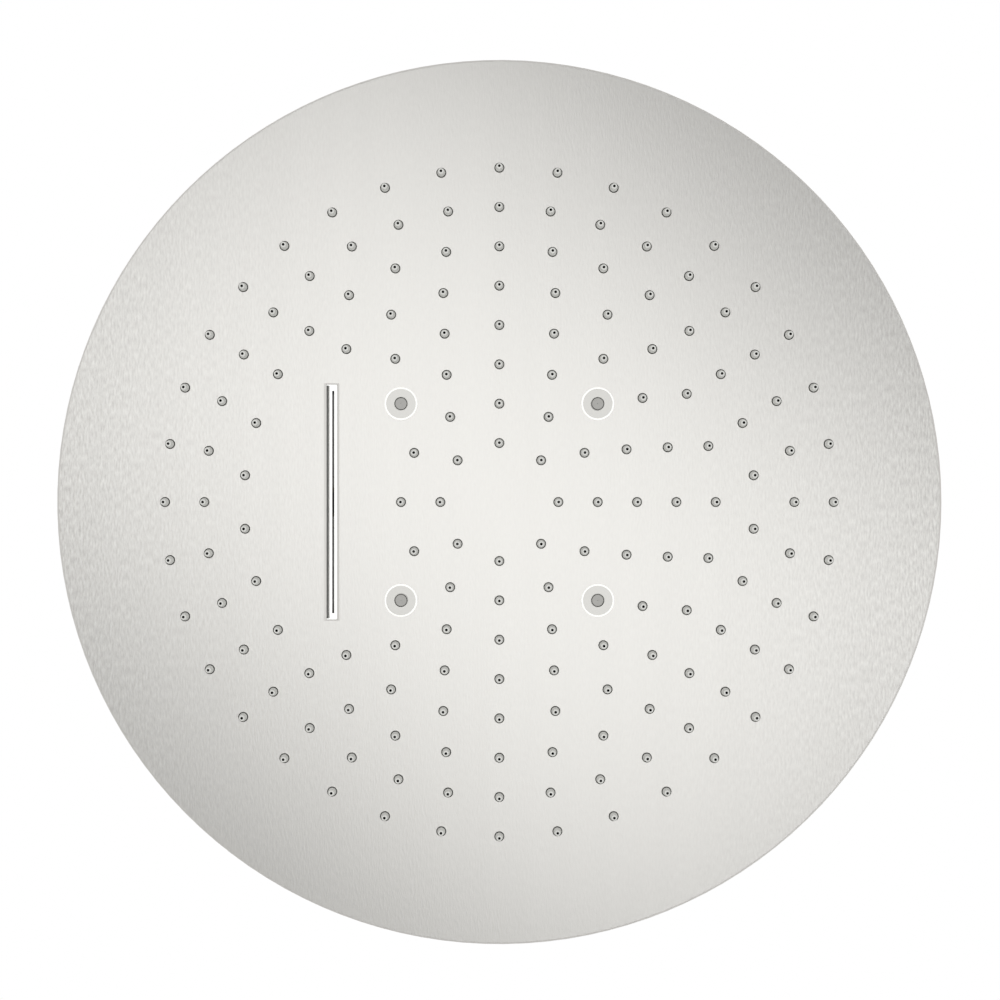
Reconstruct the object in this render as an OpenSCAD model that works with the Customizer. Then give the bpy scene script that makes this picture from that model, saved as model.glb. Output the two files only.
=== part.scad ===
// Recessed ceiling shower head with rain, mist and waterfall outlets.
// Millimetres. +Z points up into the ceiling, z = 0 is the plane of the rain nozzle tips.
// The visible face looks down. The waterfall slot lies on the -X side.

/* [Face plate] */
// Diameter of the visible disc
plate_d = 450; // [446:1:460]
// Thickness of the stainless sheet
plate_t = 2; // [1.6:0.1:2.4]
// Width of the rolled edge break round the visible face
edge_break = 1; // [0.6:0.1:1.4]

/* [Rain nozzles] */
// Radius of the innermost ring of nozzles
first_ring_r = 30; // [29.5:0.1:30.5]
// Distance from one ring to the next
ring_pitch = 20; // [19.8:0.05:20.1]
// Diameter of each hole in the plate
hole_d = 5.1; // [4.8:0.1:5.4]
// How far the nozzle tips stand out of the face
tip_drop = 4; // [3:0.5:5]
// Diameter of a nozzle where it leaves the plate
nozzle_base_d = 4.1; // [3.8:0.1:4.4]
// Diameter of a nozzle at its tip
nozzle_tip_d = 2.9; // [2.6:0.1:3.2]
// Diameter of the water jet hole
orifice_d = 1.4; // [1:0.1:1.5]
// Diameter of the sealing flange behind the plate
nozzle_flange_d = 8; // [7.4:0.1:8.2]

/* [Waterfall] */
// Place of the slot from the centre of the plate
slot_x = -85.3; // [-86:0.1:-84]
// Width of the opening through the plate
slot_w = 5.4; // [5:0.1:5.8]
// Length of the opening through the plate
slot_l = 119.6; // [118:0.2:120]
// Width of the bevel along the long sides
slot_side_bevel = 1.2; // [0.8:0.05:1.4]
// Width of the bevel at the two ends
slot_end_bevel = 0.5; // [0.3:0.05:0.8]
// Depth of the bevel
slot_bevel_depth = 0.35; // [0.3:0.05:0.8]
// How far the bright strip lies behind the face
strip_depth = 6.4; // [6:0.1:7]
// Width of the water slit
slit_w = 1.1; // [0.8:0.1:1.4]
// Length of the water slit
slit_l = 114.2; // [112:0.2:115]

/* [Mist nozzles] */
// Distance of each mist nozzle from both centre lines
mist_offset = 50; // [49:0.5:51]
// Diameter of the visible flange
mist_flange_d = 16.7; // [16:0.1:17.4]
// Width of the polished ring round the flange
mist_chamfer_w = 1.05; // [0.8:0.05:1.4]
// How far that ring falls back to the flange's edge
mist_chamfer_drop = 0.1; // [0.05:0.05:0.3]
// How far the flange stands out of the face
mist_flange_h = 0.6; // [0.4:0.1:1]
// Outer diameter of the polished lead-in round the atomiser
mist_rim_d = 7.5; // [7.2:0.1:8]
// Diameter of the atomiser pocket
mist_pocket_d = 6.7; // [6.5:0.1:6.9]

/* [Water chamber] */
// Height of the pan's underside above the plate's back
chamber_h = 18; // [17:0.5:20]
// Sheet thickness of the pan
pan_t = 1.5; // [1.2:0.1:1.8]
// Radius of the bolt circle that clamps the pan
rim_stud_r = 186; // [185.5:0.1:186.5]
// Outer radius of the pan's flange
pan_flange_r = 194; // [193:0.5:196]

/* [Fixing] */
// Radius on which the four hanger holes lie
hanger_r = 170; // [167:1:172]
// Diameter of each hanger hole
hanger_hole_d = 9; // [8.5:0.5:10]
// Outer diameter of the threaded inlets
inlet_thread_d = 20.96; // [20.8:0.02:21]

/* [Hidden] */
$fn = 48;

// Heights of the plate
face_z = tip_drop;
back_z = face_z + plate_t;
// A cut runs this far past the face that it opens
over = 1;
// Small break of the plate's back edge
back_break = 0.2;
// Share of its width by which the front edge break drops before its steep corner begins
edge_break_share = 0.18;

// Ring of nozzles: how many each full ring holds
ring_counts = [8, 12, 16, 20, 24, 30, 36, 36];
// The field stays clear of the waterfall box and of the mist nozzles
clear_half_x = 26.5;
clear_half_y = 61;
clear_mist_r = 12;
nozzle_flange_t = 1.2;
// Depth of the narrow jet hole before the nozzle widens inside
orifice_land = 0.6;
nozzle_bore_d = 2.6;
nozzle_tip_round = 0.3;
nozzle_neck = 0.3;

// Rain chamber
gasket_t = 1.5;
gasket_in_r = 178;
flange_z = back_z + gasket_t;
pan_z = back_z + chamber_h;
pan_top = pan_z + pan_t;
// The pan's top steps down to a shoulder before it turns into the wall
pan_step_r = 157;
pan_step_h = 2;
pan_wall_top_r = 170;
pan_wall_foot_r = 177;
pan_bend_r = 3.5;
pan_step_bend_r = 3;
pan_corner_r = 5;
// Pressed radial beads that stiffen the pan's top
bead_count = 8;
bead_first_a = 22.5;
bead_in_r = 95;
bead_out_r = 148;
bead_w = 10;
bead_h = 2;

// M4 studs, washers and nuts on the rim
rim_count = 24;
rim_first_a = 7.5;
m4_r = 2;
m4_hole_r = 2.25;
m4_washer_r = 4.5;
m4_washer_t = 0.8;
m4_nut_af = 7;
m4_nut_h = 3.2;
thread_gap = 0.05;
// Room left over a stud's end in a cap nut
cap_room = 0.5;
washer_play = 0.15;
// Every stud ends this far above its nut's hexagon
stud_past_nut = 1.5;
bracket_t = 2.5;
rim_stud_top = flange_z + pan_t + bracket_t + m4_washer_t + m4_nut_h + stud_past_nut;

// Waterfall stack: gasket, bar and pressed box on the plate's back
wf_flange_w = 48;
wf_flange_l = 134;
wf_corner_r = 10;
wf_gasket_t = 1;
wf_bar_z = back_z + wf_gasket_t;
wf_bar_flange_t = 3.5;
wf_body_w = 12;
wf_body_l = 126;
wf_body_r = 3;
strip_z = face_z + strip_depth;
strip_t = 1;
// The strip lies with this play in its groove; its ends are turned down and thinner
strip_play = 0.12;
strip_end_play = 0.05;
strip_tab_t = 0.5;
bar_port_w = 2.6;
bar_port_l = slit_l + 1.5;
bar_top_t = 1.6;
wf_body_top = strip_z + strip_t + bar_top_t;
box_t = 1;
box_flange_z = wf_bar_z + wf_bar_flange_t;
box_wall_w = 30;
box_wall_l = 128;
box_corner_r = 7;
spacer_seal_t = 2;
box_top = pan_z - spacer_seal_t;
m3_r = 1.5;
m3_hole_r = 1.7;
m3_washer_r = 3.5;
m3_washer_t = 0.5;
m3_nut_af = 5.5;
m3_nut_h = 2.4;
wf_stud_x = 19.5;
wf_stud_ys = [-51, -17, 17, 51];
wf_stud_top = box_flange_z + box_t + m3_washer_t + m3_nut_h + stud_past_nut;

// Threaded inlets
inlet_r = inlet_thread_d / 2;
inlet_bore_r = 7.5;
inlet_top = 55;
inlet_thread_z = 40;
inlet_lead = 1;
relief_r = 9.5;
relief_w = 1.5;
head_r = 13.4;
head_t = 2.5;
seal_t = 1;
seal_in_r = 10.7;
outer_seal_r = 15;
outer_seal_t = 1.5;
pan_hole_r = 10.8;
lock_nut_af = 30;
lock_nut_h = 6;
spigot_r = 9;
spigot_l = 4.5;

// Mist stack
mist_shank_r = 6;
mist_hole_r = 6.2;
mist_seal_t = 1;
mist_seal_r = 8.5;
mist_block_z = pan_top + mist_seal_t;
mist_block_h = 12;
mist_block_r = 10;
tube_z = mist_block_z + mist_block_h / 2;
stub_r = 5.5;
stub_end = 16;
tube_r = 4;
tube_bore_r = 3;
tube_stop = 12.5;
nut_from = 11;
nut_to = 21;
nut_step = 18;
tube_nut_af = 13;
mist_washer_t = 1;
mist_nut_z = mist_block_z + mist_block_h + mist_washer_t;
mist_nut_af = 19;
mist_nut_h = 7;
mist_shank_top = mist_nut_z + 6.5;
mist_passage_r = 2.5;
insert_r = 2.87;
insert_play = 0.03;
insert_recess = 0.4;
insert_neck = 1.6;
insert_l = 8;
mist_orifice_d = 0.3;
mist_rim_drop = 0.06;
// The four mist nozzles in order round the plate, seen from above
mist_places = [[-1, 1], [1, 1], [1, -1], [-1, -1]];

// Mist inlet tee between the two mist blocks on the +X side
tee_r = 10.5;
tee_top = 39;
tee_foot_l = 50;
tee_foot_w = 16;
tee_foot_t = 3;
tee_foot_corner_r = 6;
tee_stud_x = 18.5;

// Stays that tie the pan's top to the plate
stay_x = 130;
stay_r = 3;
stay_play = 0.2;
seal_play = 0.1;
stay_sleeve_r = 6;
stay_seal_r = 7;
stay_nut_af = 10;
stay_nut_h = 5;

// Hanger brackets
bracket_angles = [45, 135, 225, 315];
bracket_foot_u = 179.8;
bracket_web_u = 194;
bracket_foot_w = 62;
bracket_ear_w = 36;
bracket_bend_r = 4.5;
bracket_tip = 14;
// Height of the straight edges below and above the tapered web
bracket_straight = 9;
bracket_ear_corner_r = 6;
bracket_foot_corner_r = 1.5;

// Foam ring between the plate's rim and the ceiling
ceiling_seal_in = 206;
ceiling_seal_t = 2;
ceiling_seal_edge = 4;

// One row of places for each nozzle ring, the first nozzle of every ring on the -Y side
function ring_places(i) = [
    for (k = [0 : ring_counts[i] - 1])
    let (r = first_ring_r + i * ring_pitch, a = -90 + 360 * k / ring_counts[i])
    [r * cos(a), r * sin(a)]
];
function clear_of_waterfall(p) = abs(p.x - slot_x) > clear_half_x || abs(p.y) > clear_half_y;
function clear_of_mist(p) = norm([abs(p.x) - mist_offset, abs(p.y) - mist_offset]) > clear_mist_r;
nozzle_places = [
    for (i = [0 : len(ring_counts) - 1]) for (p = ring_places(i))
    if (clear_of_waterfall(p) && clear_of_mist(p)) p
];
rim_angles = [for (k = [0 : rim_count - 1]) rim_first_a + 360 * k / rim_count];
// Two neighbouring studs carry each bracket
function under_bracket(a) = abs(a % 90 - 45) < 360 / rim_count / 2 + 1;
wf_stud_places = [for (y = wf_stud_ys, s = [-1, 1]) [slot_x + s * wf_stud_x, y]];

// Rounded polylines and their parallel walls
function unit(v) = v / norm(v);
function left_of(v) = [-v.y, v.x];
function corner_shift(a, b, c, t) =
    let (n = left_of(unit(b - a)), m = left_of(unit(c - b))) b + t * (n + m) / (1 + n * m);
function turn(a, b, c) = let (u = b - a, w = c - b) sign(u.x * w.y - u.y * w.x);
function rounded(a, b, c, r, steps) =
    let (
        u = unit(a - b), w = unit(c - b), half = acos(u * w) / 2,
        centre = b + unit(u + w) * r / sin(half),
        s = b + u * r / tan(half) - centre, e = b + w * r / tan(half) - centre,
        from = atan2(s.y, s.x), sweep = atan2(e.y, e.x) - from,
        by = sweep > 180 ? sweep - 360 : sweep < -180 ? sweep + 360 : sweep
    )
    [for (k = [0 : steps]) centre + r * [cos(from + by * k / steps), sin(from + by * k / steps)]];
// Closed outline of a bent sheet: the given side, then the other side t to its left, walked back
function sheet_outline(path, radii, t, steps = 6) =
    let (
        last = len(path) - 1,
        other = [for (i = [0 : last])
            i == 0 ? path[0] + t * left_of(unit(path[1] - path[0])) :
            i == last ? path[last] + t * left_of(unit(path[last] - path[last - 1])) :
            corner_shift(path[i - 1], path[i], path[i + 1], t)],
        near = [for (i = [0 : last]) each i == 0 || i == last ? [path[i]] :
            rounded(path[i - 1], path[i], path[i + 1], radii[i], steps)],
        far = [for (i = [last : -1 : 0]) each i == 0 || i == last ? [other[i]] :
            rounded(other[i + 1], other[i], other[i - 1],
                radii[i] - turn(path[i - 1], path[i], path[i + 1]) * t, steps)]
    )
    concat(near, far);

// Flat ring between two heights
module ring(inner_r, outer_r, from_z, to_z) {
    translate([0, 0, from_z])
        difference() {
            cylinder(r = outer_r, h = to_z - from_z);
            translate([0, 0, -over]) cylinder(r = inner_r, h = to_z - from_z + 2 * over);
        }
}

// Long shape with half round ends, centred, along X
module long_round(l, w) {
    square([l - w, w], center = true);
    for (s = [-1, 1]) translate([s * (l - w) / 2, 0]) circle(d = w);
}

// Rectangle with round corners, centred
module rounded_rect(w, l, r) {
    square([w - 2 * r, l], center = true);
    square([w, l - 2 * r], center = true);
    for (x = [-1, 1], y = [-1, 1]) translate([x * (w / 2 - r), y * (l / 2 - r)]) circle(r = r);
}

// Hexagon nut with its corners turned off at both ends
module hex_nut(af, h, bore_r) {
    corner_r = af / sqrt(3);
    ease = corner_r - af / 2;
    difference() {
        intersection() {
            cylinder(r = corner_r, h = h, $fn = 6);
            rotate_extrude()
                polygon([[0, 0], [af / 2, 0], [corner_r, ease / 2],
                    [corner_r, h - ease / 2], [af / 2, h], [0, h]]);
        }
        translate([0, 0, -over]) cylinder(r = bore_r, h = h + 2 * over);
    }
}

// Closed nut with a domed top and a blind bore
module cap_nut(af, hex_h, bore_r, bore_depth) {
    dome_r = af / 2 - 0.5;
    corner_r = af / sqrt(3);
    ease = corner_r - af / 2;
    difference() {
        union() {
            intersection() {
                cylinder(r = corner_r, h = hex_h, $fn = 6);
                rotate_extrude()
                    polygon([[0, 0], [af / 2, 0], [corner_r, ease / 2],
                        [corner_r, hex_h - ease / 2], [af / 2, hex_h], [0, hex_h]]);
            }
            intersection() {
                translate([0, 0, hex_h - over]) cylinder(r = dome_r, h = dome_r + over);
                translate([0, 0, hex_h - dome_r * 0.35]) sphere(r = dome_r * 1.06);
            }
        }
        translate([0, 0, -over]) cylinder(r = bore_r, h = bore_depth + over);
    }
}

module at_mist(k) {
    translate([mist_places[k].x * mist_offset, mist_places[k].y * mist_offset, 0]) children();
}

module at_all_mist() {
    for (k = [0 : 3]) at_mist(k) children();
}

module at_stays() {
    for (s = [-1, 1]) translate([s * stay_x, 0, 0]) children();
}

module at_rim(angles) {
    for (a = angles) rotate(a) translate([rim_stud_r, 0, 0]) children();
}

// Disc cut from sheet: edge break, nozzle holes, mist holes and the bevelled slot
module face_plate() {
    plate_r = plate_d / 2;
    ease = edge_break * edge_break_share;
    color("gainsboro")
    difference() {
        rotate_extrude($fn = 180)
            polygon([[0, face_z], [plate_r - edge_break, face_z], [plate_r - ease, face_z + ease],
                [plate_r, face_z + edge_break / 2], [plate_r, back_z - back_break],
                [plate_r - back_break, back_z], [0, back_z]]);
        for (p = nozzle_places) translate([p.x, p.y, face_z - over])
            cylinder(d = hole_d, h = plate_t + 2 * over);
        at_all_mist() translate([0, 0, face_z - over]) cylinder(r = mist_hole_r, h = plate_t + 2 * over);
        translate([slot_x, 0, 0]) slot_cut();
    }
}

module slot_cut() {
    translate([-slot_w / 2, -slot_l / 2, face_z - over]) cube([slot_w, slot_l, plate_t + 2 * over]);
    intersection() {
        rotate([90, 0, 0]) linear_extrude(height = slot_l * 2, center = true)
            bevel_section(slot_w, slot_side_bevel);
        rotate([90, 0, 90]) linear_extrude(height = slot_w * 4, center = true)
            bevel_section(slot_l, slot_end_bevel);
    }
}

// Section across a bevelled opening, carried a little below the face
module bevel_section(opening, bevel) {
    grow = bevel * over / slot_bevel_depth;
    low = opening / 2 + bevel + grow;
    polygon([[-low, face_z - over], [low, face_z - over],
        [opening / 2, face_z + slot_bevel_depth], [-opening / 2, face_z + slot_bevel_depth]]);
}

// One silicone nozzle for each hole: flange behind the plate, neck in the hole, cone below the face
module rain_nozzles() {
    color("lightgray")
    for (p = nozzle_places) translate([p.x, p.y, 0]) rain_nozzle();
}

module rain_nozzle() {
    tip_r = nozzle_tip_d / 2;
    base_r = nozzle_base_d / 2;
    jet_r = orifice_d / 2;
    bore_r = nozzle_bore_d / 2;
    top = back_z + nozzle_flange_t;
    rotate_extrude()
        polygon([[jet_r, 0], [tip_r - nozzle_tip_round, 0], [tip_r, nozzle_tip_round],
            [base_r, face_z - nozzle_neck], [base_r, back_z],
            [nozzle_flange_d / 2, back_z], [nozzle_flange_d / 2, top], [bore_r, top],
            [bore_r, orifice_land + bore_r], [jet_r, orifice_land]]);
}

// Flat gasket under the pan's flange
module rain_gasket() {
    color("dimgray")
    difference() {
        ring(gasket_in_r, pan_flange_r, back_z, flange_z, $fn = 180);
        at_rim(rim_angles) translate([0, 0, back_z - over]) cylinder(r = m4_hole_r, h = gasket_t + 2 * over);
    }
}

// Pressed stainless pan: stepped top, slanted wall, flat bolting flange and eight radial beads
module rain_pan() {
    path = [
        [0, pan_top], [pan_step_r, pan_top], [pan_step_r + pan_step_h, pan_top - pan_step_h],
        [pan_wall_top_r, pan_top - pan_step_h],
        [pan_wall_foot_r, flange_z + pan_t], [pan_flange_r, flange_z + pan_t]
    ];
    radii = [0, pan_step_bend_r, pan_step_bend_r + pan_t, pan_corner_r, pan_bend_r, 0];
    bead_l = bead_out_r - bead_in_r;
    color("silver")
    difference() {
        union() {
            rotate_extrude($fn = 180) polygon(sheet_outline(path, radii, -pan_t));
            for (k = [0 : bead_count - 1]) rotate(bead_first_a + 360 * k / bead_count)
                translate([(bead_in_r + bead_out_r) / 2, 0, pan_top - over])
                    linear_extrude(height = bead_h + over) long_round(bead_l, bead_w);
        }
        for (k = [0 : bead_count - 1]) rotate(bead_first_a + 360 * k / bead_count)
            translate([(bead_in_r + bead_out_r) / 2, 0, pan_z - over])
                linear_extrude(height = bead_h + over) long_round(bead_l - 2 * pan_t, bead_w - 2 * pan_t);
        translate([0, 0, pan_z - over]) cylinder(r = pan_hole_r, h = pan_t + 2 * over);
        translate([slot_x, 0, pan_z - over]) cylinder(r = pan_hole_r, h = pan_t + 2 * over);
        at_all_mist() translate([0, 0, pan_z - over]) cylinder(r = mist_hole_r, h = pan_t + 2 * over);
        at_stays() translate([0, 0, pan_z - over]) cylinder(r = stay_r + stay_play, h = pan_t + 2 * over);
        at_rim(rim_angles) translate([0, 0, flange_z - over]) cylinder(r = m4_hole_r, h = pan_t + 2 * over);
    }
}

// Threaded studs welded to the plate's back round the rim
module rim_studs() {
    color("silver")
    at_rim(rim_angles) stud(m4_r, back_z, rim_stud_top);
}

module stud(r, from_z, to_z) {
    lead = 0.4;
    translate([0, 0, from_z]) cylinder(r = r, h = to_z - from_z - lead);
    translate([0, 0, to_z - lead]) cylinder(r1 = r, r2 = r - lead, h = lead);
}

function rim_seat(a) = flange_z + pan_t + (under_bracket(a) ? bracket_t : 0);

module rim_washers() {
    color("lightgray")
    for (a = rim_angles) at_rim([a])
        ring(m4_r + washer_play, m4_washer_r, rim_seat(a), rim_seat(a) + m4_washer_t);
}

module rim_nuts() {
    color("silver")
    for (a = rim_angles) at_rim([a])
        translate([0, 0, rim_seat(a) + m4_washer_t]) hex_nut(m4_nut_af, m4_nut_h, m4_r + thread_gap);
}

module at_waterfall_studs() {
    for (p = wf_stud_places) translate([p.x, p.y, 0]) children();
}

module waterfall_plan() {
    difference() {
        rounded_rect(wf_flange_w, wf_flange_l, wf_corner_r);
        for (y = wf_stud_ys, s = [-1, 1]) translate([s * wf_stud_x, y]) circle(r = m3_hole_r);
    }
}

// Thin rubber sheet between the plate's back and the bar
module waterfall_gasket() {
    color("dimgray")
    translate([slot_x, 0, back_z])
        linear_extrude(height = wf_gasket_t)
            difference() {
                waterfall_plan();
                square([slot_w, slot_l], center = true);
            }
}

// Dark moulded bar: its groove carries on the slot's walls and holds the bright strip at the bottom
module waterfall_bar() {
    color("darkslategray")
    translate([slot_x, 0, 0])
    difference() {
        union() {
            translate([0, 0, wf_bar_z]) linear_extrude(height = wf_bar_flange_t) waterfall_plan();
            translate([0, 0, wf_bar_z]) linear_extrude(height = wf_body_top - wf_bar_z)
                rounded_rect(wf_body_w, wf_body_l, wf_body_r);
        }
        translate([0, 0, wf_bar_z - over]) linear_extrude(height = strip_z + strip_t - wf_bar_z + over)
            square([slot_w, slot_l], center = true);
        translate([0, 0, wf_bar_z]) linear_extrude(height = chamber_h)
            rotate(90) long_round(bar_port_l, bar_port_w);
    }
}

// Bright strip with the water slit, its two ends turned down to line the ends of the slot
module waterfall_strip() {
    w = slot_w - 2 * strip_play;
    l = slot_l - 2 * strip_end_play;
    tab_z = face_z + slot_bevel_depth + strip_play;
    color("whitesmoke")
    translate([slot_x, 0, 0])
    difference() {
        union() {
            translate([-w / 2, -l / 2, strip_z]) cube([w, l, strip_t]);
            for (s = [-1, 1]) translate([-w / 2, (s * (l - strip_tab_t) - strip_tab_t) / 2, tab_z])
                cube([w, strip_tab_t, strip_z - tab_z]);
        }
        translate([0, 0, strip_z - over]) linear_extrude(height = strip_t + 2 * over)
            square([slit_w, slit_l], center = true);
    }
}

// Pressed box that makes the waterfall's own chamber
module waterfall_box() {
    color("silver")
    translate([slot_x, 0, 0])
    difference() {
        union() {
            translate([0, 0, box_flange_z]) linear_extrude(height = box_t) waterfall_plan();
            translate([0, 0, box_flange_z]) linear_extrude(height = box_top - box_flange_z)
                rounded_rect(box_wall_w, box_wall_l, box_corner_r);
        }
        translate([0, 0, box_flange_z - over]) linear_extrude(height = box_top - box_flange_z - box_t + over)
            rounded_rect(box_wall_w - 2 * box_t, box_wall_l - 2 * box_t, box_corner_r - box_t);
        translate([0, 0, box_top - box_t - over]) cylinder(r = pan_hole_r, h = box_t + 2 * over);
    }
}

module waterfall_studs() {
    color("silver")
    at_waterfall_studs() stud(m3_r, back_z, wf_stud_top);
}

module waterfall_washers() {
    color("lightgray")
    at_waterfall_studs()
        ring(m3_r + washer_play, m3_washer_r, box_flange_z + box_t, box_flange_z + box_t + m3_washer_t);
}

module waterfall_nuts() {
    color("silver")
    at_waterfall_studs() translate([0, 0, box_flange_z + box_t + m3_washer_t])
        hex_nut(m3_nut_af, m3_nut_h, m3_r + thread_gap);
}

// Turned brass nipple: head inside the chamber, thread relief above the lock nut, hose thread on top
module inlet_nipple(head_z, spigot) {
    difference() {
        rotate_extrude()
            polygon([[0, head_z], [head_r - 0.5, head_z], [head_r, head_z + 0.5], [head_r, head_z + head_t],
                [inlet_r, head_z + head_t], [inlet_r, inlet_thread_z - relief_w],
                [relief_r, inlet_thread_z - relief_w], [relief_r, inlet_thread_z],
                [inlet_r, inlet_thread_z], [inlet_r, inlet_top - inlet_lead],
                [inlet_r - inlet_lead, inlet_top], [0, inlet_top]]);
        translate([0, 0, head_z - over]) cylinder(r = inlet_bore_r, h = inlet_top - head_z + 2 * over);
    }
    if (spigot > 0) ring(inlet_bore_r, spigot_r, head_z - spigot, head_z);
}

// Lock nut on an inlet
module inlet_lock_nut() {
    translate([0, 0, pan_top + outer_seal_t]) hex_nut(lock_nut_af, lock_nut_h, inlet_r + thread_gap);
}

module waterfall_inlet() {
    color("goldenrod")
    translate([slot_x, 0, 0]) inlet_nipple(box_top - box_t - seal_t - head_t, 0);
}

module waterfall_inner_seal() {
    color("dimgray")
    translate([slot_x, 0, 0]) ring(seal_in_r, head_r, box_top - box_t - seal_t, box_top - box_t);
}

module waterfall_spacer_seal() {
    color("dimgray")
    translate([slot_x, 0, 0]) ring(seal_in_r, outer_seal_r - 0.5, box_top, pan_z);
}

module waterfall_outer_seal() {
    color("dimgray")
    translate([slot_x, 0, 0]) ring(seal_in_r, outer_seal_r, pan_top, pan_top + outer_seal_t);
}

module waterfall_lock_nut() {
    color("goldenrod")
    translate([slot_x, 0, 0]) inlet_lock_nut();
}

module rain_inlet() {
    color("goldenrod") inlet_nipple(pan_z - seal_t - head_t, spigot_l);
}

module rain_inner_seal() {
    color("dimgray") ring(seal_in_r, head_r, pan_z - seal_t, pan_z);
}

module rain_outer_seal() {
    color("dimgray") ring(seal_in_r, outer_seal_r, pan_top, pan_top + outer_seal_t);
}

module rain_lock_nut() {
    color("goldenrod") inlet_lock_nut();
}

// Clip-on spreader under the rain inlet: hub, six legs and a round baffle
module rain_diffuser() {
    head_z = pan_z - seal_t - head_t;
    hub_in = spigot_r + seal_play;
    hub_out = spigot_r + 2.5;
    hub_h = 3;
    leg_l = 4.5;
    leg_w = 2.6;
    baffle_r = 20;
    baffle_t = 1.6;
    hub_z = head_z - hub_h;
    color("gray") {
        ring(hub_in, hub_out, hub_z, head_z);
        translate([0, 0, hub_z - leg_l - baffle_t]) cylinder(r = baffle_r, h = baffle_t);
        intersection() {
            ring(hub_in, hub_out, hub_z - leg_l, hub_z);
            for (k = [0 : 2]) rotate(60 * k) translate([-baffle_r, -leg_w / 2, hub_z - leg_l])
                cube([2 * baffle_r, leg_w, leg_l]);
        }
    }
}

// Hollow bolt: flange on the face, shank up through plate, sleeve, pan and block
module mist_nozzle() {
    front = face_z - mist_flange_h;
    flange_r = mist_flange_d / 2;
    pocket_r = mist_pocket_d / 2;
    pocket_top = front + insert_recess + insert_l;
    ease = 0.8;
    difference() {
        rotate_extrude()
            polygon([[pocket_r, front + mist_rim_drop], [mist_rim_d / 2, front],
                [flange_r - mist_chamfer_w, front], [flange_r, front + mist_chamfer_drop], [flange_r, face_z],
                [mist_shank_r, face_z], [mist_shank_r, mist_shank_top - ease],
                [mist_shank_r - ease, mist_shank_top], [0, mist_shank_top],
                [0, pocket_top], [pocket_r, pocket_top]]);
        translate([0, 0, pocket_top - over]) cylinder(r = mist_passage_r, h = tube_z - pocket_top + over);
        for (a = [0, 90]) translate([0, 0, tube_z]) rotate([90, 0, a])
            cylinder(r = mist_passage_r, h = 2 * mist_shank_r + over, center = true);
    }
}

// Atomiser: small disc with a pin hole, held in the pocket
module mist_insert() {
    front = face_z - mist_flange_h + insert_recess;
    skirt_r = mist_pocket_d / 2 - insert_play;
    orifice_r = mist_orifice_d / 2;
    cavity_r = 1.5;
    rotate_extrude()
        polygon([[orifice_r, front], [insert_r, front], [insert_r, front + insert_neck],
            [skirt_r, front + insert_neck], [skirt_r, front + insert_l],
            [cavity_r, front + insert_l], [cavity_r, front + insert_neck + cavity_r],
            [orifice_r, front + insert_neck]]);
}

module mist_nozzle_at(k) {
    color("gainsboro") at_mist(k) mist_nozzle();
}

module mist_insert_at(k) {
    color("darkgray") at_mist(k) mist_insert();
}

module mist_face_seals() {
    color("dimgray") at_all_mist() ring(mist_hole_r, mist_seal_r, back_z, back_z + mist_seal_t);
}

// Tubes that take the clamping force between plate and pan
module mist_sleeves() {
    color("silver") at_all_mist() ring(mist_hole_r, mist_seal_r, back_z + mist_seal_t, pan_z - mist_seal_t);
}

module mist_pan_seals() {
    color("dimgray") at_all_mist() ring(mist_hole_r, mist_seal_r, pan_z - mist_seal_t, pan_z);
}

module mist_block_seals() {
    color("dimgray") at_all_mist() ring(mist_hole_r, mist_block_r - 1, pan_top, pan_top + mist_seal_t);
}

// Ring block round the hollow bolt, with one stub for each tube that meets it
module mist_block(stub_angles) {
    gallery_r = 7.8;
    gallery_h = 6;
    ease = 0.8;
    difference() {
        union() {
            translate([0, 0, mist_block_z]) rotate_extrude()
                polygon([[0, 0], [mist_block_r - ease, 0], [mist_block_r, ease],
                    [mist_block_r, mist_block_h - ease],
                    [mist_block_r - ease, mist_block_h], [0, mist_block_h]]);
            for (a = stub_angles) along(a) cylinder(r = stub_r, h = stub_end);
        }
        translate([0, 0, mist_block_z - over])
            cylinder(r = mist_shank_r + seal_play, h = mist_block_h + 2 * over);
        translate([0, 0, tube_z - gallery_h / 2]) cylinder(r = gallery_r, h = gallery_h);
        for (a = stub_angles) along(a) socket_cut(gallery_r - over);
    }
}

// Turns a cylinder's axis to the horizontal direction a, at the tubes' height
module along(a) {
    translate([0, 0, tube_z]) rotate([0, 90, a]) children();
}

// Water passage of a stub and the socket that takes the tube's end
module socket_cut(from) {
    translate([0, 0, from]) cylinder(r = tube_bore_r, h = stub_end - from + over);
    translate([0, 0, tube_stop]) cylinder(r = tube_r + thread_gap, h = stub_end - tube_stop + over);
}

// The two -X blocks feed from one side; the two +X blocks pass the water on towards the tee
function stub_angles(k) = k == 0 ? [0] : k == 1 ? [180, 270] : k == 2 ? [180, 90] : [0];

module mist_block_at(k) {
    color("goldenrod") at_mist(k) mist_block(stub_angles(k));
}

module mist_top_washers() {
    color("lightgray")
    at_all_mist() ring(mist_hole_r, mist_block_r - 0.5, mist_nut_z - mist_washer_t, mist_nut_z);
}

module mist_cap_nuts() {
    color("silver")
    at_all_mist() translate([0, 0, mist_nut_z])
        cap_nut(mist_nut_af, mist_nut_h, mist_shank_r + thread_gap, mist_shank_top - mist_nut_z + cap_room);
}

// Straight stainless tube between two sockets
module mist_tube(from, to) {
    run = norm(to - from) - 2 * tube_stop;
    a = atan2(to.y - from.y, to.x - from.x);
    color("silver")
    translate([from.x, from.y, 0]) along(a) translate([0, 0, tube_stop])
        difference() {
            cylinder(r = tube_r, h = run);
            translate([0, 0, -over]) cylinder(r = tube_bore_r, h = run + 2 * over);
        }
}

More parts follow.
